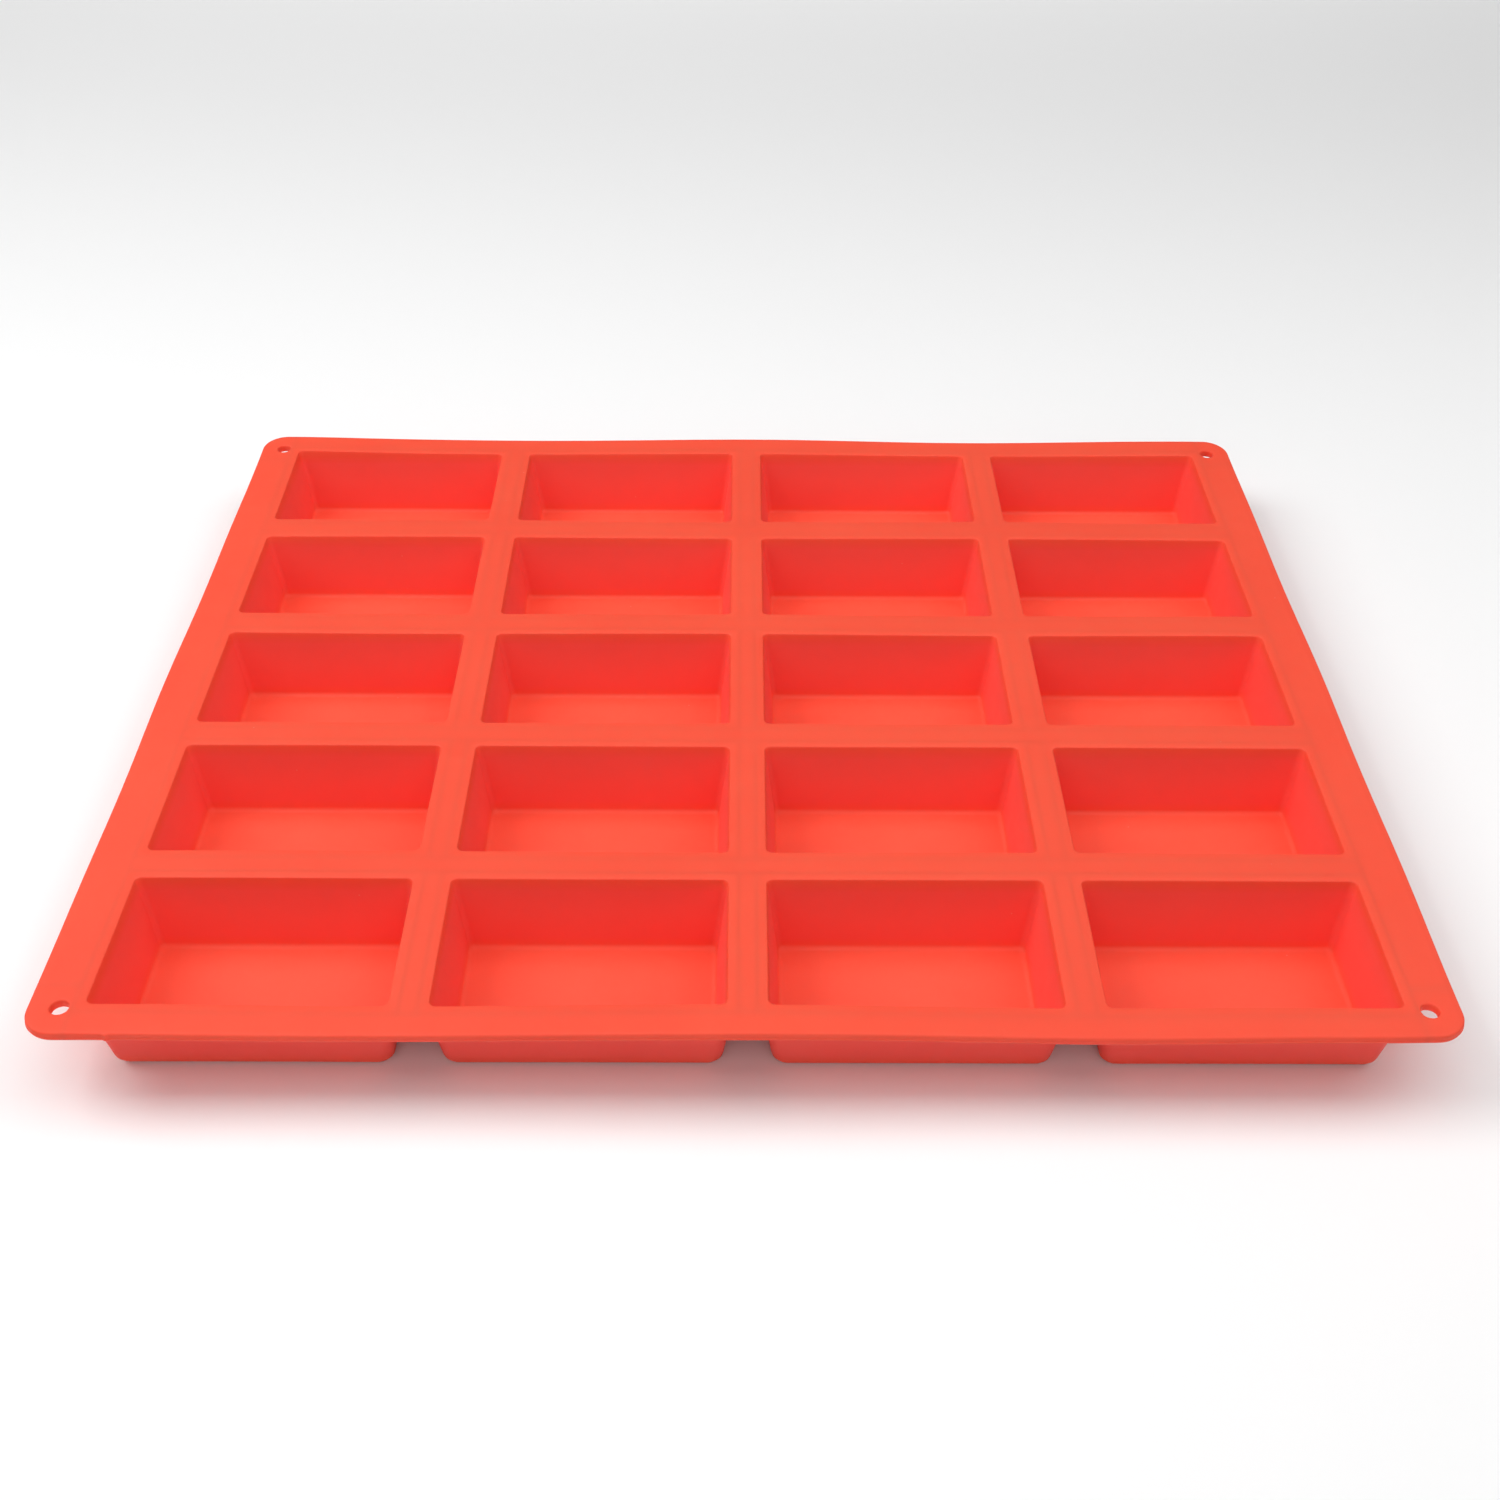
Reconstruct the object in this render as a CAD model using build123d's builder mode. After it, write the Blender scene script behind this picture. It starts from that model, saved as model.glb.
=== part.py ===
from build123d import *
import os

# Soap bar mould: a flexible silicone tray of drafted, flat-bottomed bar cavities.
#
# The whole tray is one moulding. Here each cup, web, rim and corner of it is a solid of its own,
# and neighbours meet face to face, so that a region can be named, weighed and collided with.
#
# Millimetres. X runs along the bars, Y across them and Z up. The origin is the middle of the
# footprint, on the surface that the cups stand on. Row 1 is at the front (-Y), column 1 on the
# left (-X).

# --- Layout ----------------------------------------------------------------------------------
columns = 4
rows = 5
bar_length = 80.0           # cavity at its lip, along X
bar_width = 50.0            # cavity at its lip, along Y
gap_x = 11.0                # flange left between the lips of neighbouring columns
gap_y = 12.0                # flange left between the lips of neighbouring rows
end_margin_x = 15.0         # flange outside the first and last column
end_margin_y = 11.0         # flange outside the front and back row

# --- Section ---------------------------------------------------------------------------------
overall_height = 26.0
flange_thickness = 2.7
floor_thickness = 1.8
wall = 2.0
draft = 3.5                 # how far each cavity wall leans in from lip to floor

# --- Radii -----------------------------------------------------------------------------------
cavity_corner_radius = 2.0  # upright corners inside a cavity
floor_radius = 1.5          # where the cavity walls meet its floor
foot_radius = 3.5           # round the underside of a cup
root_radius = 0.8           # where a cup's outside meets the underside of the flange
flange_corner_radius = 9.0  # in plan
flange_edge_radius = 0.7    # along the flange's outline, above and below

# --- Hanging holes ---------------------------------------------------------------------------
hole_radius = 2.5
hole_inset_x = 8.7          # from the flange's end to the hole's centre
hole_inset_y = 9.7          # from the flange's front or back edge to the hole's centre

# --- Where one region ends and the next begins -----------------------------------------------
collar = 1.0                # flange that belongs to a cup, outside its walls
corner_length = 18.0        # how far a corner piece reaches along Y

# --- Derived ---------------------------------------------------------------------------------
pitch_x = bar_length + gap_x
pitch_y = bar_width + gap_y
flange_length = columns * bar_length + (columns - 1) * gap_x + 2 * end_margin_x
flange_width = rows * bar_width + (rows - 1) * gap_y + 2 * end_margin_y
flange_underside = overall_height - flange_thickness
cavity_depth = overall_height - floor_thickness

cup_length = bar_length + 2 * wall
cup_width = bar_width + 2 * wall
cup_corner_radius = cavity_corner_radius + wall
collar_length = cup_length + 2 * collar
collar_width = cup_width + 2 * collar

grid_length = (columns - 1) * pitch_x + collar_length
grid_width = (rows - 1) * pitch_y + collar_width
rim_x = (flange_length - grid_length) / 2
rim_y = (flange_width - grid_width) / 2
side_rim_length = flange_width - 2 * corner_length

flange_plane = Plane.XY.offset(flange_underside)
floor_plane = Plane.XY.offset(floor_thickness)


def column_x(column):
    """X of the middle of a column."""
    return (column - (columns + 1) / 2) * pitch_x


def row_y(row):
    """Y of the middle of a row."""
    return (row - (rows + 1) / 2) * pitch_y


def save(piece, name):
    """Label a finished piece and write its STEP file."""
    piece.part.label = name
    export_step(piece.part, f"parts/{name}.step")


def flared_block(base, length, width, height, flare, corner_radius, mode=Mode.ADD):
    """Loft a rounded rectangle up to one that is wider by flare on every side."""
    with BuildSketch(base) as lower:
        RectangleRounded(length, width, corner_radius)
    with BuildSketch(base.offset(height)) as upper:
        RectangleRounded(length + 2 * flare, width + 2 * flare, corner_radius)
    loft([lower.sketch, upper.sketch], mode=mode)


def round_outline(piece):
    """Round the edges of a flange piece that lie on the tray's outline, above and below."""
    reach = min(rim_x, rim_y) / 2 - flange_edge_radius

    def on_outline(edge):
        middle = edge @ 0.5
        beyond_x = abs(middle.X) > flange_length / 2 - reach
        beyond_y = abs(middle.Y) > flange_width / 2 - reach
        return beyond_x or beyond_y

    flat_edges = piece.faces().filter_by(Axis.Z).edges()
    fillet(flat_edges.filter_by(on_outline), flange_edge_radius)


# --- Cups: an open drafted cavity, its wall and floor, and the collar of flange around it -------
def make_cup_form():
    """One cup, centred on the origin. Every cup of the tray is a copy of it."""
    foot_length = cup_length - 2 * draft
    foot_width = cup_width - 2 * draft
    floor_length = bar_length - 2 * draft
    floor_width = bar_width - 2 * draft

    with BuildPart() as cup:
        flared_block(
            Plane.XY, foot_length, foot_width, flange_underside, draft, cup_corner_radius
        )
        fillet(cup.faces().sort_by(Axis.Z)[0].edges(), foot_radius)

        with BuildSketch(flange_plane):
            Rectangle(collar_length, collar_width)
        extrude(amount=flange_thickness)
        collar_underside = cup.faces().filter_by(Axis.Z).group_by(Axis.Z)[1][0]
        fillet(collar_underside.inner_wires().edges(), root_radius)

        flared_block(
            floor_plane, floor_length, floor_width, cavity_depth, draft,
            cavity_corner_radius, mode=Mode.SUBTRACT,
        )
        cavity_floor = cup.faces().filter_by(Axis.Z).group_by(Axis.Z)[1][0]
        fillet(cavity_floor.edges(), floor_radius)
    return cup


# --- Webs and rims: strips of flange. A rim's outer edge is rounded, a web has none -------------
def make_strip(centre_x, centre_y, length, width, is_rim=False):
    with BuildPart() as strip:
        with BuildSketch(flange_plane):
            with Locations((centre_x, centre_y)):
                Rectangle(length, width)
        extrude(amount=flange_thickness)
        if is_rim:
            round_outline(strip)
    return strip


# --- Corners: each has the tray's plan radius and one hanging hole ------------------------------
def make_corner(side_x, side_y):
    centre_x = side_x * (flange_length - rim_x) / 2
    centre_y = side_y * (flange_width - corner_length) / 2
    hole_x = side_x * (flange_length / 2 - hole_inset_x)
    hole_y = side_y * (flange_width / 2 - hole_inset_y)

    with BuildPart() as corner:
        with BuildSketch(flange_plane) as outline:
            with Locations((centre_x, centre_y)):
                Rectangle(rim_x, corner_length)
            outermost = outline.vertices().sort_by_distance((0, 0))[-1]
            fillet(outermost, flange_corner_radius)
            with Locations((hole_x, hole_y)):
                Circle(hole_radius, mode=Mode.SUBTRACT)
        extrude(amount=flange_thickness)
        round_outline(corner)
    return corner


# --- Write every piece --------------------------------------------------------------------------
os.makedirs("parts", exist_ok=True)

cup_form = make_cup_form()
for row in range(1, rows + 1):
    for column in range(1, columns + 1):
        with BuildPart() as cup:
            with Locations((column_x(column), row_y(row))):
                add(cup_form.part)
        save(cup, f"cup_r{row}_c{column}")

for row in range(1, rows):
    web_y = row_y(row) + pitch_y / 2
    row_web = make_strip(0, web_y, grid_length, pitch_y - collar_width)
    save(row_web, f"row_web_r{row}_r{row + 1}")

for row in range(1, rows + 1):
    for column in range(1, columns):
        web_x = column_x(column) + pitch_x / 2
        cup_web = make_strip(web_x, row_y(row), pitch_x - collar_length, collar_width)
        save(cup_web, f"cup_web_r{row}_c{column}_c{column + 1}")

for side, name in ((-1, "rim_front"), (1, "rim_back")):
    rim_centre_y = side * (flange_width - rim_y) / 2
    save(make_strip(0, rim_centre_y, grid_length, rim_y, is_rim=True), name)

for side, name in ((-1, "rim_left"), (1, "rim_right")):
    rim_centre_x = side * (flange_length - rim_x) / 2
    save(make_strip(rim_centre_x, 0, rim_x, side_rim_length, is_rim=True), name)

for side_y, depth_name in ((-1, "front"), (1, "back")):
    for side_x, width_name in ((-1, "left"), (1, "right")):
        save(make_corner(side_x, side_y), f"corner_{depth_name}_{width_name}")
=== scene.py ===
import math

import bpy
import numpy as np
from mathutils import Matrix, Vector


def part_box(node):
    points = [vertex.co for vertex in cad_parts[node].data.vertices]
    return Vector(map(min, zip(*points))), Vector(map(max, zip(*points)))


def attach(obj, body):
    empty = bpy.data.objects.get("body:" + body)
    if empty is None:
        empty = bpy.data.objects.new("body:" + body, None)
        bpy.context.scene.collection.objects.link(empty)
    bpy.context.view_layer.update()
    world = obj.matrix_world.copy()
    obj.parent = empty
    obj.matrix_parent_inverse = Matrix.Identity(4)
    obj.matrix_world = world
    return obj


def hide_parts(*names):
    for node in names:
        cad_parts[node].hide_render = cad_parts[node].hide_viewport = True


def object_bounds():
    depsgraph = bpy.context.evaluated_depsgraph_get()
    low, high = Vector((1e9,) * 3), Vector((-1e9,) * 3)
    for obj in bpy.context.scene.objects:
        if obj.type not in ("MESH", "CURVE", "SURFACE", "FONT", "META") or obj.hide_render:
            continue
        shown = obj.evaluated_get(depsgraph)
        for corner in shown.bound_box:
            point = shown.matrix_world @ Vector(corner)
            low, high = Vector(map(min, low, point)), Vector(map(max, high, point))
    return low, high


# Soap bar mould: a satin silicone tray with a grid of drafted bar cavities. Metres, +Z up.
# Every CAD region gets a finished mesh of its own. Neighbours meet on flat flange, and one
# function bends them all, so that the tray reads as the single moulding that it is.

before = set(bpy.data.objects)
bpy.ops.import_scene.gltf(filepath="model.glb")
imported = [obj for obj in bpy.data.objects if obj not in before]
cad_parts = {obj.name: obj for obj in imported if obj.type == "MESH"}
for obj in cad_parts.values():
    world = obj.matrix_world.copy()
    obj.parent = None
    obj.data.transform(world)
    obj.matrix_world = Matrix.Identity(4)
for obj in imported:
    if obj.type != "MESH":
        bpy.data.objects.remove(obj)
cad_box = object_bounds()

COLUMNS = 4
ROWS = 5

# --- Section, in metres --------------------------------------------------------------------------
COLLAR = 0.001               # flange between a cup's outer wall and the edge of its region
WALL = 0.002
DRAFT = 0.0035               # lean of each wall, per side, over its height
FLOOR = 0.0018               # thickness of a cavity's floor
CAVITY_CORNER = 0.002        # upright corner inside a cavity
LIP_RADIUS = 0.00035
FLOOR_RADIUS = 0.0015
FLOOR_CORNER_SHARE = 0.3     # of the floor radius, added to the upright corners at the floor
FOOT_RADIUS = 0.0035
FOOT_LEAN_SHARE = 0.5        # how much of the draft goes on round the foot
ROOT_RADIUS = 0.0008
EDGE_RADIUS = 0.0007         # along the tray's outline
CORNER_RADIUS = 0.009        # of the tray, in plan
HOLE_RADIUS = 0.0025
HOLE_INSET_X = 0.0087
HOLE_INSET_Y = 0.0097
HOLE_EDGE_RADIUS = 0.0005

# --- Mesh density --------------------------------------------------------------------------------
CORNER_REACH = 0.004         # stretch of a cup's region that its corner cells cover
CORNER_CELLS = 4             # on each side of a corner's diagonal
CELL = 0.004                 # along straight runs
ROUND_STEPS = 5              # in a quarter turn of a fillet
WALL_STEPS = 6
SHARP_DEGREES = 40           # an edge that turns more than this is shaded as an edge
SMALL_ROUND_STEPS = 3        # in a quarter turn of the lip, the root and the mouths of the holes
WEB_CELLS = 2                # across the flange between two cups
LONG_RIM_CELLS = 4           # across the front and back rims
END_RIM_CELLS = 5            # across the left and right rims
SEAM_POINTS_X = 7            # where a corner meets its neighbours
SEAM_POINTS_Y = 9
CORNER_RINGS = (0.15, 0.4, 0.7)      # shares of the way from a hole to the corner's edge
NICK_LINES = 9

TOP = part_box("cup_r1_c1")[1].z
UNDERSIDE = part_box("rim_front")[0].z
CAVITY_DEPTH = TOP - FLOOR
OUTER = cad_box[1].copy()    # the tray's back right corner
PITCH_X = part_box("cup_r1_c2")[0].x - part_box("cup_r1_c1")[0].x
PITCH_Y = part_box("cup_r2_c1")[0].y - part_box("cup_r1_c1")[0].y

# --- Small faults of the moulding, in metres -----------------------------------------------------
LONG_WALL_BOW = 0.00045      # how far the middle of a long wall leans into its cavity
END_WALL_BOW = 0.00030
FLOOR_CROWN = 0.00015        # rise of the middle of a cavity's floor
FLASH_REACH = 0.00018        # ridge along the outline, where the two halves of the tool met
FLASH_HALF_HEIGHT = 0.00018
FLASH_ABOVE_UNDERSIDE = 0.0011
NICK_X = -0.1685             # a blob of flash on the front edge
NICK_REACH = 0.0005


# --- The tray's gentle bends ---------------------------------------------------------------------
# Local rises and dips of the flange: height, centre x, centre y, reach in x, reach in y.
SWELLS = (
    (0.0002, -0.165, -0.135, 0.05, 0.06),
    (-0.0006, 0.168, -0.155, 0.022, 0.03),
    (0.0006, -0.180, 0.150, 0.03, 0.03),
    (-0.0004, 0.188, 0.02, 0.02, 0.04),
)
LONG_EDGE_WAVE = 0.00045     # height of the wave along the front edge
LONG_EDGE_WAVELENGTH = 0.178
LONG_EDGE_FADE = 0.03        # how far in from the long edges the wave reaches
BACK_WAVE_SHARE = 0.8        # the back edge waves less than the front one
FRONT_RISE = 0.0004          # lift of the middle of the front edge
BACK_RISE = 0.0004           # lift of the whole back edge
RISE_HALF_LENGTH = 0.11
RISE_FADE = 0.02
RIPPLE = 0.00025             # faint unevenness all over
RIPPLE_TURNS = (31, 37)      # radians a metre, along x and along y
RIPPLE_STARTS = (2.0, 1.0)   # radians
SIDE_WANDER = 0.00022        # sideways waves of the outline, at the ends and at the long edges
SIDE_TURNS = 63              # radians a metre
SIDE_START = 1.2             # radians
END_WANDER = 0.00020
END_TURNS = 47
END_START = 0.7
SIDE_FADE = 0.006
END_FADE = 0.004
SIDE_BULGE = 0.0004          # how far the middle of each end bows out
SIDE_BULGE_CENTRE = -0.03    # in y
SIDE_BULGE_REACH = 0.09
BACK_BULGE = 0.0003
CORNER_PULL = (0.0007, 0.0004)       # the front left corner is pulled out, in x and in y
CORNER_PULL_PLACE = (-0.190, -0.157)
CORNER_PULL_REACH = (0.018, 0.028)
NICK_HALF_WIDTH = 0.0008
NICK_FADE = 0.0006
CUP_VARIETY = 0.4            # how much one cup's bow differs from another's
BEND_STARTS = 0.6            # share of the underside's height, above which the outline wanders
CUP_STEPS = (2.1, 3.7)       # radians from column to column and from row to row


def bump(distance, width):
    """A smooth hump, 1 at zero distance."""
    return np.exp(-(distance / width) ** 2)


def flange_lift(x, y):
    """How far the flange stands above or below its nominal height."""
    to_long_edge = np.minimum(y + OUTER.y, OUTER.y - y)
    wave = LONG_EDGE_WAVE * np.cos(2 * np.pi * x / LONG_EDGE_WAVELENGTH)
    wave = wave * np.exp(-to_long_edge / LONG_EDGE_FADE)
    lift = np.where(y < 0, wave, BACK_WAVE_SHARE * wave)
    for height, centre_x, centre_y, reach_x, reach_y in SWELLS:
        lift = lift + height * bump(x - centre_x, reach_x) * bump(y - centre_y, reach_y)
    lift = lift + FRONT_RISE * bump(x, RISE_HALF_LENGTH) * bump(y + OUTER.y, RISE_FADE)
    lift = lift + BACK_RISE * np.exp(-(OUTER.y - y) / RISE_FADE)
    along_x = np.sin(RIPPLE_TURNS[0] * x + RIPPLE_STARTS[0])
    along_y = np.sin(RIPPLE_TURNS[1] * y + RIPPLE_STARTS[1])
    return lift + RIPPLE * along_x * along_y


def edge_wander(x, y):
    """Small sideways moves of the tray's outline, strongest at the outline itself."""
    at_side = np.exp(-np.maximum(OUTER.x - np.abs(x), 0) / SIDE_FADE)
    at_end = np.exp(-np.maximum(OUTER.y - np.abs(y), 0) / END_FADE)
    side = SIDE_WANDER * np.sin(SIDE_TURNS * y + SIDE_START * np.sign(x)) * at_side
    bulge = bump(y - SIDE_BULGE_CENTRE, SIDE_BULGE_REACH)
    side = side + SIDE_BULGE * np.sign(x) * bulge * at_side
    end = END_WANDER * np.sin(END_TURNS * x + END_START * np.sign(y)) * at_end
    end = end + BACK_BULGE * (y > 0) * at_end
    pull_x, pull_y = CORNER_PULL_PLACE
    pulled = bump(x - pull_x, CORNER_PULL_REACH[0]) * bump(y - pull_y, CORNER_PULL_REACH[1])
    nick = NICK_REACH * bump(x - NICK_X, NICK_HALF_WIDTH) * bump(y + OUTER.y, NICK_FADE)
    return side - CORNER_PULL[0] * pulled, end - CORNER_PULL[1] * pulled - nick


def cup_sag(x, y, z):
    """How the walls of each cup bow inwards and its floor rises, no two cups quite alike."""
    column, row = np.floor(x / PITCH_X), np.round(y / PITCH_Y)
    local_x = 2 * (x / PITCH_X - column) - 1
    local_y = 2 * (y / PITCH_Y - row)
    strength = 1 + CUP_VARIETY * np.sin(CUP_STEPS[0] * column + CUP_STEPS[1] * row)
    height = np.clip(z / UNDERSIDE, 0, 1)
    belly = strength * np.sin(np.pi * height)
    mid_x, mid_y = np.cos(np.pi * local_x / 2), np.cos(np.pi * local_y / 2)
    dx = -END_WALL_BOW * belly * mid_y * local_x ** 3
    dy = -LONG_WALL_BOW * belly * mid_x * local_y ** 3
    rise = FLOOR_CROWN * strength * (1 - height) ** 4 * mid_x * mid_y
    return dx, dy, rise


def bend(points):
    """Move points of the flat tray to where the relaxed silicone has them."""
    x, y, z = points[:, 0], points[:, 1], points[:, 2]
    wander_x, wander_y = edge_wander(x, y)
    on_flange = np.clip((z / UNDERSIDE - BEND_STARTS) / (1 - BEND_STARTS), 0, 1)
    lift = flange_lift(x, y) * np.clip(z / TOP, 0, 1)
    sag_x, sag_y, rise = cup_sag(x, y, z)
    moved = [x + wander_x * on_flange + sag_x, y + wander_y * on_flange + sag_y, z + lift + rise]
    return np.stack(moved, axis=1)


# --- Mesh making ---------------------------------------------------------------------------------
def run_of_cells(low, high):
    """Evenly spaced values from low to high, both included, about CELL apart."""
    count = max(1, round((high - low) / CELL))
    return np.linspace(low, high, count + 1)


def corner_angles():
    """From a corner's diagonal, at 45 degrees, down to where the corner ends."""
    return np.radians(45) * (1 - np.arange(CORNER_CELLS + 1) / CORNER_CELLS)


def side_points(half_along, half_across, radius, square):
    """One side of a ring from diagonal to diagonal: (along, across) pairs, across positive."""
    angles = corner_angles()
    if square:
        along = half_along - radius + radius * np.tan(angles)
        across = np.full_like(angles, half_across)
    else:
        along = half_along - radius + radius * np.sin(angles)
        across = half_across - radius + radius * np.cos(angles)
    return along, across


def side_counts():
    """Straight cells along the long and the short side of a cup's region."""
    low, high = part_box("cup_r1_c1")
    straight_x = (high.x - low.x) - 2 * CORNER_REACH
    straight_y = (high.y - low.y) - 2 * CORNER_REACH
    return round(straight_x / CELL), round(straight_y / CELL)


CELLS_X, CELLS_Y = side_counts()
GRID_X = CELLS_X + 2 * CORNER_CELLS
GRID_Y = CELLS_Y + 2 * CORNER_CELLS


def full_side(half_along, half_across, radius, square, cells):
    """A whole side of a ring, from its low end to its high end."""
    along, across = side_points(half_along, half_across, radius, square)
    middle = np.linspace(-along[-1], along[-1], cells + 1)[1:-1]
    flat = np.full_like(middle, across[-1])
    whole_along = np.concatenate([-along, middle, along[::-1]])
    whole_across = np.concatenate([across, flat, across[::-1]])
    return whole_along, whole_across


def ring(half_x, half_y, radius, z, square=False):
    """A closed loop of points round a rounded or square-cornered rectangle, anticlockwise."""
    along, across = full_side(half_x, half_y, radius, square, CELLS_X)
    front = np.stack([along, -across], axis=1)
    back = np.stack([along[::-1], across[::-1]], axis=1)
    along, across = full_side(half_y, half_x, radius, square, CELLS_Y)
    right = np.stack([across, along], axis=1)
    left = np.stack([-across[::-1], along[::-1]], axis=1)
    loop = np.concatenate([front[:-1], right[:-1], back[:-1], left[:-1]])
    return np.column_stack([loop, np.full(len(loop), z)])


def patch_inside(loop, count_x, count_y):
    """Grid points inside a ring, blended from its four sides, and the index of each."""
    front = loop[:count_x + 1]
    right = loop[count_x:count_x + count_y + 1]
    back = loop[count_x + count_y:2 * count_x + count_y + 1][::-1]
    left = np.concatenate([loop[2 * count_x + count_y:], loop[:1]])[::-1]
    u = np.linspace(0, 1, count_x + 1)[1:-1, None, None]
    v = np.linspace(0, 1, count_y + 1)[None, 1:-1, None]
    rows_part = (1 - v) * front[1:-1, None] + v * back[1:-1, None]
    columns_part = (1 - u) * left[None, 1:-1] + u * right[None, 1:-1]
    corners = (
        (1 - u) * (1 - v) * front[0] + u * (1 - v) * front[-1]
        + (1 - u) * v * back[0] + u * v * back[-1]
    )
    return rows_part + columns_part - corners


def patch_faces(ring_start, inner_start, count_x, count_y, flip):
    """Quads of a grid whose border is a ring and whose inner points follow in one block."""
    around = 2 * (count_x + count_y)

    def index(i, j):
        if j == 0:
            return ring_start + i
        if i == count_x:
            return ring_start + count_x + j
        if j == count_y:
            return ring_start + 2 * count_x + count_y - i
        if i == 0:
            return ring_start + (around - j) % around
        return inner_start + (i - 1) * (count_y - 1) + (j - 1)

    faces = []
    for i in range(count_x):
        for j in range(count_y):
            quad = (index(i, j), index(i + 1, j), index(i + 1, j + 1), index(i, j + 1))
            faces.append(quad[::-1] if flip else quad)
    return faces


def rings_to_mesh(name, rings, grid=None):
    """A closed mesh through a chain of equal rings. With a grid, the first and last are filled.

    Without one, the last ring joins the first. The rings run from the top's middle, outwards,
    down the outside and back in below.
    """
    around = len(rings[0])
    points = np.concatenate(rings)
    faces = []
    chain = len(rings) if grid is None else len(rings) - 1
    for k in range(chain):
        here, there = k * around, ((k + 1) % len(rings)) * around
        for i in range(around):
            j = (i + 1) % around
            faces.append((here + j, here + i, there + i, there + j))
    if grid is not None:
        count_x, count_y = grid
        for loop, start, flip in (
            (rings[0], 0, False), (rings[-1], (len(rings) - 1) * around, True),
        ):
            inner = patch_inside(loop, count_x, count_y).reshape(-1, 3)
            faces += patch_faces(start, len(points), count_x, count_y, flip)
            points = np.concatenate([points, inner])
    return make_piece(name, bend(points), faces)


def make_piece(name, points, faces):
    mesh = bpy.data.meshes.new(name)
    mesh.from_pydata(points.tolist(), [], faces)
    mesh.validate()
    mesh.shade_smooth()
    mesh.set_sharp_from_angle(angle=math.radians(SHARP_DEGREES))
    piece = bpy.data.objects.new(name, mesh)
    bpy.context.scene.collection.objects.link(piece)
    return piece


def quarter_turn(steps=ROUND_STEPS):
    """Angles from 0 to 90 degrees, both included."""
    return np.radians(np.linspace(0, 90, steps + 1))


# --- Cups ----------------------------------------------------------------------------------------
def cavity_rings(half_x, half_y):
    """From the cavity floor up its walls and over the lip, floor first."""
    lean = DRAFT / CAVITY_DEPTH
    rings = []
    for angle in quarter_turn():
        inset = DRAFT + FLOOR_RADIUS * (1 - math.sin(angle))
        inset -= lean * FLOOR_RADIUS * math.sin(angle)
        z = FLOOR + FLOOR_RADIUS * (1 - math.cos(angle))
        radius = CAVITY_CORNER + FLOOR_RADIUS * FLOOR_CORNER_SHARE * (1 - math.sin(angle))
        rings.append(ring(half_x - inset, half_y - inset, radius, z))
    low, high = FLOOR + FLOOR_RADIUS, TOP - LIP_RADIUS
    for share in np.linspace(0, 1, WALL_STEPS + 1)[1:]:
        z = low + (high - low) * share
        inset = lean * (TOP - z)
        rings.append(ring(half_x - inset, half_y - inset, CAVITY_CORNER, z))
    for angle in quarter_turn(SMALL_ROUND_STEPS)[1:]:
        out = LIP_RADIUS * (1 - math.cos(angle))
        z = TOP - LIP_RADIUS * (1 - math.sin(angle))
        rings.append(ring(half_x + out, half_y + out, CAVITY_CORNER + out, z))
    return rings


def outside_rings(half_x, half_y):
    """From the underside of the flange down the cup's outer wall and round to its foot."""
    lean = DRAFT / UNDERSIDE
    corner = CAVITY_CORNER + WALL
    rings = []
    for angle in quarter_turn(SMALL_ROUND_STEPS):
        out = ROOT_RADIUS * (1 - math.sin(angle))
        z = UNDERSIDE - ROOT_RADIUS * (1 - math.cos(angle))
        inset = lean * (UNDERSIDE - z) - out
        rings.append(ring(half_x - inset, half_y - inset, corner + out, z))
    high, low = UNDERSIDE - ROOT_RADIUS, FOOT_RADIUS
    for share in np.linspace(0, 1, WALL_STEPS + 1)[1:]:
        z = high + (low - high) * share
        inset = lean * (UNDERSIDE - z)
        rings.append(ring(half_x - inset, half_y - inset, corner, z))
    base = lean * (UNDERSIDE - FOOT_RADIUS)
    for angle in quarter_turn()[1:]:
        inset = base + FOOT_RADIUS * (1 - math.cos(angle))
        inset += lean * FOOT_RADIUS * math.sin(angle) * FOOT_LEAN_SHARE
        z = FOOT_RADIUS * (1 - math.sin(angle))
        rings.append(ring(half_x - inset, half_y - inset, corner, z))
    return rings


def make_cup(node):
    low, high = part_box(node)
    centre = np.array([(low.x + high.x) / 2, (low.y + high.y) / 2, 0])
    half_x, half_y = (high.x - low.x) / 2, (high.y - low.y) / 2
    lip_x, lip_y = half_x - COLLAR - WALL, half_y - COLLAR - WALL
    rings = cavity_rings(lip_x, lip_y)
    rings.append(ring(half_x, half_y, CORNER_REACH, TOP, square=True))
    rings.append(ring(half_x, half_y, CORNER_REACH, UNDERSIDE, square=True))
    rings += outside_rings(half_x - COLLAR, half_y - COLLAR)
    rings = [loop + centre for loop in rings]
    return rings_to_mesh(f"{node}_skin", rings, grid=(GRID_X, GRID_Y))


# --- Strips of flange ----------------------------------------------------------------------------
def collar_lines(low, high, cells):
    """Where a cup's mesh meets its neighbours along one side, so that theirs can match."""
    middle, half = (low + high) / 2, (high - low) / 2
    along, _ = full_side(half, half, CORNER_REACH, True, cells)
    return middle + along


def moved_outer_line(lines, side, inset):
    """Grid lines with the one on the tray's outline, if side names it, brought in by inset."""
    moved = lines.copy()
    if side:
        moved[-1 if side > 0 else 0] -= side * inset
    return moved


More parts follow.
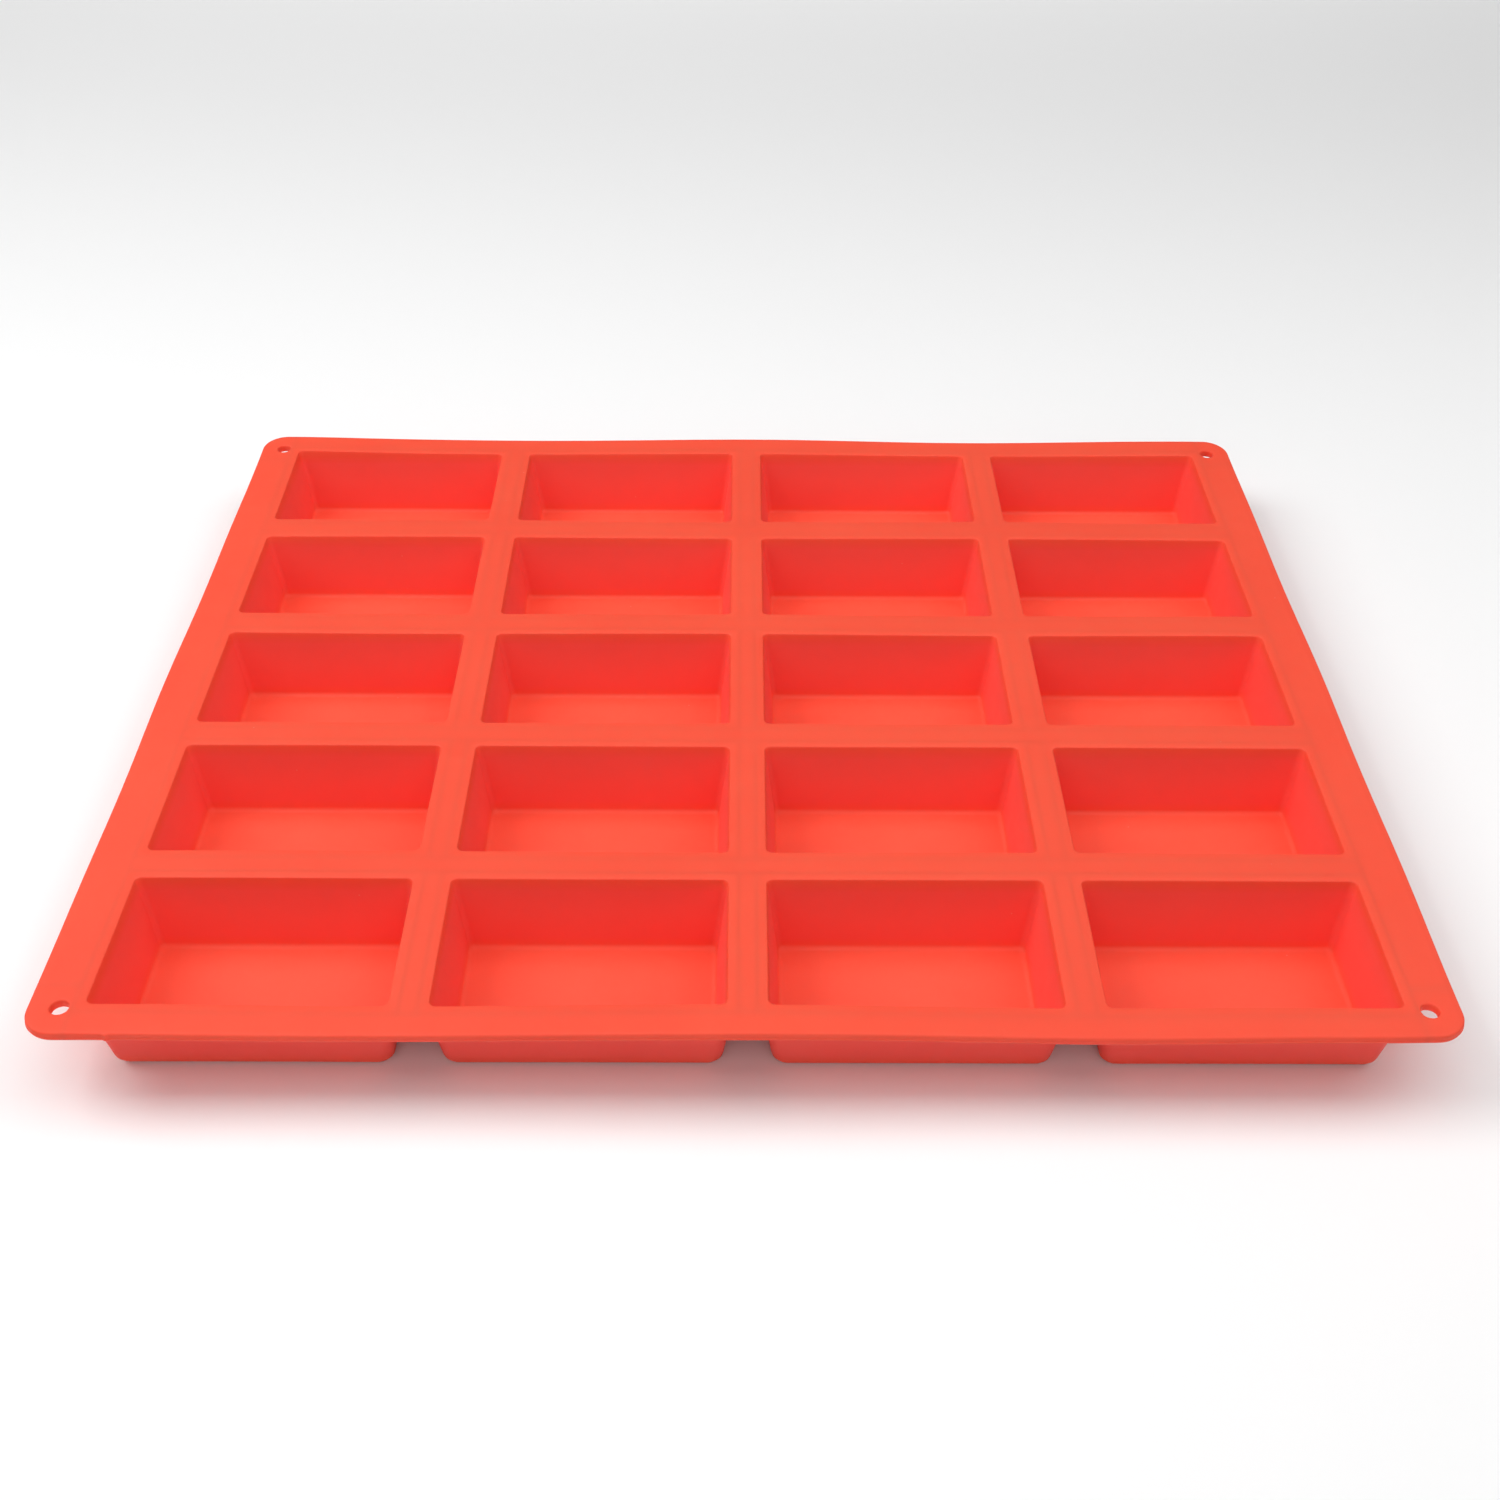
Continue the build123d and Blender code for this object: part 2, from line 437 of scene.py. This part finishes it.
def make_strip(node, lines_x, lines_y, outward=(0, 0)):
    """A bar of flange on given grid lines. outward says which side lies on the tray's outline."""
    out_x, out_y = outward
    count_x, count_y = len(lines_x) - 1, len(lines_y) - 1

    def loop(inset, z):
        x = moved_outer_line(lines_x, out_x, inset)
        y = moved_outer_line(lines_y, out_y, inset)
        front = [(a, y[0]) for a in x[:-1]]
        right = [(x[-1], b) for b in y[:-1]]
        back = [(a, y[-1]) for a in x[:0:-1]]
        left = [(x[0], b) for b in y[:0:-1]]
        flat = np.array(front + right + back + left)
        return np.column_stack([flat, np.full(len(flat), z)])

    profile = outline_profile() if any(outward) else [(0, TOP), (0, UNDERSIDE)]
    rings = [loop(inset, z) for inset, z in profile]
    return rings_to_mesh(f"{node}_skin", rings, grid=(count_x, count_y))


def outline_profile():
    """(inset, z) round the flange's outer edge, from its top face to its underside."""
    upper = [
        (EDGE_RADIUS * (1 - math.sin(a)), TOP - EDGE_RADIUS * (1 - math.cos(a)))
        for a in quarter_turn()
    ]
    lower = [(inset, TOP + UNDERSIDE - z) for inset, z in reversed(upper)]
    parting = UNDERSIDE + FLASH_ABOVE_UNDERSIDE
    flash = [
        (0, parting + FLASH_HALF_HEIGHT), (-FLASH_REACH, parting), (0, parting - FLASH_HALF_HEIGHT),
    ]
    return upper + flash + lower


# --- Corners -------------------------------------------------------------------------------------
def corner_outline(low, high, side_x, side_y):
    """Points round a corner region, each with the way its rounded outer edge is inset."""
    seam_x = low.x if side_x > 0 else high.x
    seam_y = low.y if side_y > 0 else high.y
    edge_x, edge_y = side_x * OUTER.x, side_y * OUTER.y
    centre = (edge_x - side_x * CORNER_RADIUS, edge_y - side_y * CORNER_RADIUS)
    points = []
    for y in run_of_cells(0, abs(centre[1] - seam_y)):
        points.append(((edge_x, seam_y + side_y * y), (-side_x, 0)))
    for angle in np.radians(np.linspace(0, 90, 4 * ROUND_STEPS + 1))[1:]:
        way = (side_x * math.cos(angle), side_y * math.sin(angle))
        place = (centre[0] + CORNER_RADIUS * way[0], centre[1] + CORNER_RADIUS * way[1])
        points.append((place, (-way[0], -way[1])))
    for x in run_of_cells(0, abs(centre[0] - seam_x))[1:]:
        points.append(((centre[0] - side_x * x, edge_y), (0, -side_y)))
    margin = 2 * EDGE_RADIUS
    length_y, length_x = abs(edge_y - seam_y), abs(edge_x - seam_x)
    for y in np.linspace(margin, length_y, SEAM_POINTS_Y):
        points.append(((seam_x, edge_y - side_y * y), (0, 0)))
    for x in np.linspace(0, length_x - margin, SEAM_POINTS_X)[1:]:
        points.append(((seam_x + side_x * x, seam_y), (0, 0)))
    if side_x * side_y < 0:
        points.reverse()
    return points


def make_corner(node, side_x, side_y):
    low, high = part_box(node)
    outline = corner_outline(low, high, side_x, side_y)
    places = np.array([place for place, _ in outline])
    insets = np.array([way for _, way in outline])
    hole = np.array([side_x * (OUTER.x - HOLE_INSET_X), side_y * (OUTER.y - HOLE_INSET_Y)])
    ways = places - hole
    ways /= np.linalg.norm(ways, axis=1)[:, None]

    def hole_loop(radius, z):
        return np.column_stack([hole + ways * radius, np.full(len(ways), z)])

    def outer_loop(inset, z):
        return np.column_stack([places + insets * inset, np.full(len(ways), z)])

    def between(share, z):
        near = hole + ways * (HOLE_RADIUS + HOLE_EDGE_RADIUS)
        far = places + insets * EDGE_RADIUS
        return np.column_stack([near + (far - near) * share, np.full(len(ways), z)])

    def mouth(face, inward, angle):
        """A loop of the hole's rounded mouth at one face of the flange."""
        radius = HOLE_RADIUS + HOLE_EDGE_RADIUS * (1 - math.cos(angle))
        return hole_loop(radius, face + inward * HOLE_EDGE_RADIUS * (1 - math.sin(angle)))

    turn = quarter_turn(SMALL_ROUND_STEPS)
    rings = [hole_loop(HOLE_RADIUS, (TOP + UNDERSIDE) / 2)]
    rings += [mouth(TOP, -1, angle) for angle in turn]
    rings += [between(share, TOP) for share in CORNER_RINGS]
    rings += [outer_loop(inset, z) for inset, z in outline_profile()]
    rings += [between(share, UNDERSIDE) for share in CORNER_RINGS[::-1]]
    rings += [mouth(UNDERSIDE, 1, angle) for angle in turn[::-1]]
    return rings_to_mesh(f"{node}_skin", rings)


# --- Material ------------------------------------------------------------------------------------
# Painted light: the cavity floors are painted lighter than the flange.
PAINTED_LIGHT_FLOOR_DEEP = (0.925, 0.092, 0.046)
PAINTED_LIGHT_FLOOR_PALE = (0.940, 0.099, 0.051)
# Painted shade: the walls are painted a bluer red, the tint of their shade.
PAINTED_SHADE_WALL_DEEP = (0.930, 0.090, 0.068)
PAINTED_SHADE_WALL_PALE = (0.945, 0.097, 0.073)
# Painted shade: the flange is painted darker than the cups, for how light falls on it.
PAINTED_SHADE_FLANGE_DEEP = (0.875, 0.077, 0.035)
PAINTED_SHADE_FLANGE_PALE = (0.890, 0.084, 0.038)
LINT = (0.90, 0.55, 0.45)    # dust caught on the tacky surface
ROUGHNESS = (0.55, 0.66)     # where least and most worn
REFRACTIVE_INDEX = 1.41      # of silicone rubber
GLOW = 0.35                  # share of light that enters and scatters
GLOW_REACH = 0.002           # how far red light gets; green and blue get less
GLOW_COLOUR = (1.0, 0.25, 0.15)
FLOOR_ZONE = (0.0022, 0.0060)            # heights over which floor turns into wall
FLANGE_ZONE = (TOP - 0.0045, TOP - 0.0012)
# Noise scales, in features a metre.
TONE_SCALE = 22.0
DUST_SCALE = 70.0
WEAR_SCALE = 60.0
GRAIN_SCALE = 2600.0
FLOW_SCALE = 45.0
TONE_STOPS = (0.35, 0.65)    # the part of the noise over which deep turns into pale
DUST_SIZE = (0.010, 0.022)   # where a speck ends, as shares of its cell
DUST_STRENGTH = 0.22
# Bumps, as (strength, height in metres).
GRAIN_BUMP = (0.15, 0.00004)
FLOW_BUMP = (0.35, 0.0003)
DUST_BUMP = (0.5, 0.00015)


def add_noise(nodes, links, coordinates, scale, detail=2.0):
    texture = nodes.new("ShaderNodeTexNoise")
    texture.inputs["Scale"].default_value = scale
    texture.inputs["Detail"].default_value = detail
    links.new(coordinates.outputs["Object"], texture.inputs["Vector"])
    return texture


def add_ramp(nodes, links, source, stops):
    """A colour ramp with two stops, each (position, colour), driven by a texture."""
    ramp = nodes.new("ShaderNodeValToRGB")
    for element, (position, colour) in zip(ramp.color_ramp.elements, stops):
        element.position = position
        element.color = (*colour, 1)
    links.new(source, ramp.inputs["Fac"])
    return ramp.outputs["Color"]


def add_mix(nodes, links, factor, first, second):
    mix = nodes.new("ShaderNodeMix")
    mix.data_type = "RGBA"
    links.new(factor, mix.inputs["Factor"])
    links.new(first, mix.inputs["A"])
    links.new(second, mix.inputs["B"])
    return mix.outputs["Result"]


def add_range(nodes, links, value, source, target):
    """Rescale a value from one (low, high) range to another, clamped."""
    change = nodes.new("ShaderNodeMapRange")
    change.inputs["From Min"].default_value, change.inputs["From Max"].default_value = source
    change.inputs["To Min"].default_value, change.inputs["To Max"].default_value = target
    links.new(value, change.inputs["Value"])
    return change.outputs["Result"]


def add_bump(nodes, links, height, strength, distance, under=None):
    relief = nodes.new("ShaderNodeBump")
    relief.inputs["Strength"].default_value = strength
    relief.inputs["Distance"].default_value = distance
    links.new(height, relief.inputs["Height"])
    if under:
        links.new(under, relief.inputs["Normal"])
    return relief.outputs["Normal"]


def make_silicone():
    """Coral-red silicone, satin from its tool, with painted light on the cavity floors, painted
    shade on the flange and a bluer painted shade on the walls.
    """
    material = bpy.data.materials.new("satin_silicone")
    material.use_nodes = True
    nodes, links = material.node_tree.nodes, material.node_tree.links
    shader = nodes["Principled BSDF"]
    shader.inputs["IOR"].default_value = REFRACTIVE_INDEX
    shader.inputs["Subsurface Weight"].default_value = GLOW
    shader.inputs["Subsurface Radius"].default_value = GLOW_COLOUR
    shader.inputs["Subsurface Scale"].default_value = GLOW_REACH
    coordinates = nodes.new("ShaderNodeTexCoord")

    tone = add_noise(nodes, links, coordinates, TONE_SCALE, 3.0).outputs["Fac"]
    # Painted light: a lighter copy of the silicone for the cavity floors.
    floor = add_ramp(nodes, links, tone, zip(TONE_STOPS, (PAINTED_LIGHT_FLOOR_DEEP, PAINTED_LIGHT_FLOOR_PALE)))
    # Painted shade: a bluer copy of the silicone for the cavity walls.
    wall = add_ramp(nodes, links, tone, zip(TONE_STOPS, (PAINTED_SHADE_WALL_DEEP, PAINTED_SHADE_WALL_PALE)))
    # Painted shade: a darker copy of the silicone for the flange.
    flange = add_ramp(nodes, links, tone, zip(TONE_STOPS, (PAINTED_SHADE_FLANGE_DEEP, PAINTED_SHADE_FLANGE_PALE)))
    place = nodes.new("ShaderNodeSeparateXYZ")
    links.new(coordinates.outputs["Object"], place.inputs["Vector"])
    off_floor = add_range(nodes, links, place.outputs["Z"], FLOOR_ZONE, (0, 1))
    on_flange = add_range(nodes, links, place.outputs["Z"], FLANGE_ZONE, (0, 1))
    # Painted light and shade by height: lighter floors, then the shaded walls, then the darker
    # flange.
    colour = add_mix(nodes, links, off_floor, floor, wall)
    colour = add_mix(nodes, links, on_flange, colour, flange)

    dust = nodes.new("ShaderNodeTexVoronoi")
    dust.inputs["Scale"].default_value = DUST_SCALE
    links.new(coordinates.outputs["Object"], dust.inputs["Vector"])
    speck = add_range(nodes, links, dust.outputs["Distance"], DUST_SIZE, (DUST_STRENGTH, 0))
    lint = nodes.new("ShaderNodeRGB")
    lint.outputs["Color"].default_value = (*LINT, 1)
    colour = add_mix(nodes, links, speck, colour, lint.outputs["Color"])
    links.new(colour, shader.inputs["Base Color"])

    wear = add_noise(nodes, links, coordinates, WEAR_SCALE, 4.0).outputs["Fac"]
    links.new(add_range(nodes, links, wear, (0.3, 0.7), ROUGHNESS), shader.inputs["Roughness"])

    grain = add_noise(nodes, links, coordinates, GRAIN_SCALE).outputs["Fac"]
    flow = add_noise(nodes, links, coordinates, FLOW_SCALE).outputs["Fac"]
    fine = add_bump(nodes, links, grain, *GRAIN_BUMP)
    broad = add_bump(nodes, links, flow, *FLOW_BUMP, under=fine)
    raised = add_bump(nodes, links, speck, *DUST_BUMP, under=broad)
    links.new(raised, shader.inputs["Normal"])
    return material


# --- Build every region --------------------------------------------------------------------------
silicone = make_silicone()


def finish_piece(piece, node):
    piece.data.materials.append(silicone)
    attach(piece, "root")
    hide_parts(node)


column_lines = []
for column in range(1, COLUMNS + 1):
    low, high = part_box(f"cup_r1_c{column}")
    column_lines.append(collar_lines(low.x, high.x, CELLS_X))
row_lines = []
for row in range(1, ROWS + 1):
    low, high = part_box(f"cup_r{row}_c1")
    row_lines.append(collar_lines(low.y, high.y, CELLS_Y))


def joined(lines):
    """Grid lines of all the cups on one axis, with one more in the middle of each web."""
    whole = [lines[0]]
    for before, after in zip(lines, lines[1:]):
        whole += [[(before[-1] + after[0]) / 2], after]
    return np.concatenate(whole)


def across(low, high, cells):
    return np.linspace(low, high, cells + 1)


all_x, all_y = joined(column_lines), joined(row_lines)

for row in range(1, ROWS + 1):
    for column in range(1, COLUMNS + 1):
        node = f"cup_r{row}_c{column}"
        finish_piece(make_cup(node), node)

for row in range(1, ROWS):
    node = f"row_web_r{row}_r{row + 1}"
    low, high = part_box(node)
    finish_piece(make_strip(node, all_x, across(low.y, high.y, WEB_CELLS)), node)

for row in range(1, ROWS + 1):
    for column in range(1, COLUMNS):
        node = f"cup_web_r{row}_c{column}_c{column + 1}"
        low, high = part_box(node)
        lines_x = across(low.x, high.x, WEB_CELLS)
        finish_piece(make_strip(node, lines_x, row_lines[row - 1]), node)

nick_x = NICK_X + np.linspace(-2, 2, NICK_LINES) * NICK_REACH
rim_x = np.sort(np.concatenate([all_x, nick_x]))

for side, node in ((-1, "rim_front"), (1, "rim_back")):
    low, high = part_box(node)
    lines = across(low.y, high.y, LONG_RIM_CELLS)
    finish_piece(make_strip(node, rim_x, lines, outward=(0, side)), node)

for side, node in ((-1, "rim_left"), (1, "rim_right")):
    low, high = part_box(node)
    inner = all_y[(all_y > low.y + CELL / 4) & (all_y < high.y - CELL / 4)]
    lines_y = np.concatenate([[low.y], inner, [high.y]])
    lines_x = across(low.x, high.x, END_RIM_CELLS)
    finish_piece(make_strip(node, lines_x, lines_y, outward=(side, 0)), node)

for side_y, depth_name in ((-1, "front"), (1, "back")):
    for side_x, width_name in ((-1, "left"), (1, "right")):
        node = f"corner_{depth_name}_{width_name}"
        finish_piece(make_corner(node, side_x, side_y), node)


# --- Floor, lights and camera --------------------------------------------------------------------
FLOOR_REACH = 6.0            # from the middle of the floor to each of its sides
PAPER = (0.93, 0.93, 0.93)
PAPER_ROUGHNESS = 0.9
WORLD_STRENGTH = 0.18
ORIGIN = (0, 0, 0)
# Name, place, what it faces, side of its square in metres, power in watts, spread in degrees.
LAMPS = (
    ("overhead", (0, -0.04, 0.85), ORIGIN, 1.0, 3.8, 180),
    ("front", (0, -1.1, 0.75), ORIGIN, 0.9, 3.0, 180),
    ("left", (-0.9, 0.08, 0.98), ORIGIN, 0.75, 8.9, 180),
    ("right", (0.9, 0.08, 1.02), ORIGIN, 0.75, 4.2, 180),
    ("far_floor", (0, 2.6, 1.6), (0, 2.6, 0), 2.0, 52.0, 80),
)
LENS = 43.69                 # millimetres
SENSOR_WIDTH = 36.0
CLIP_START = 0.01
CAMERA_X = -0.00288
CAMERA_Y = -0.48798
CAMERA_ABOVE_TOP = 0.35678
CAMERA_TURN = (51.54, -0.39, -0.17)      # degrees about x, y and z


def make_floor():
    mesh = bpy.data.meshes.new("floor")
    far = FLOOR_REACH
    corners = [(-far, -far, 0), (far, -far, 0), (far, far, 0), (-far, far, 0)]
    mesh.from_pydata(corners, [], [(0, 1, 2, 3)])
    floor = bpy.data.objects.new("floor", mesh)
    bpy.context.scene.collection.objects.link(floor)
    material = bpy.data.materials.new("paper")
    material.use_nodes = True
    shader = material.node_tree.nodes["Principled BSDF"]
    shader.inputs["Base Color"].default_value = (*PAPER, 1)
    shader.inputs["Roughness"].default_value = PAPER_ROUGHNESS
    mesh.materials.append(material)


def add_area_light(name, place, target, size, power, spread):
    light = bpy.data.lights.new(name, "AREA")
    light.shape = "SQUARE"
    light.size = size
    light.energy = power
    light.spread = math.radians(spread)
    lamp = bpy.data.objects.new(name, light)
    lamp.location = place
    lamp.rotation_euler = (Vector(target) - Vector(place)).to_track_quat("-Z", "Y").to_euler()
    bpy.context.scene.collection.objects.link(lamp)


def make_camera():
    camera = bpy.data.cameras.new("camera")
    camera.sensor_width = SENSOR_WIDTH
    camera.lens = LENS
    camera.clip_start = CLIP_START
    view = bpy.data.objects.new("camera", camera)
    view.location = (CAMERA_X, CAMERA_Y, TOP + CAMERA_ABOVE_TOP)
    view.rotation_euler = [math.radians(angle) for angle in CAMERA_TURN]
    bpy.context.scene.collection.objects.link(view)
    bpy.context.scene.camera = view


def make_world():
    world = bpy.data.worlds.new("studio")
    world.use_nodes = True
    background = world.node_tree.nodes["Background"]
    background.inputs["Color"].default_value = (1, 1, 1, 1)
    background.inputs["Strength"].default_value = WORLD_STRENGTH
    bpy.context.scene.world = world


make_floor()
make_world()
for lamp in LAMPS:
    add_area_light(*lamp)
make_camera()
bpy.context.scene.view_settings.view_transform = "Standard"
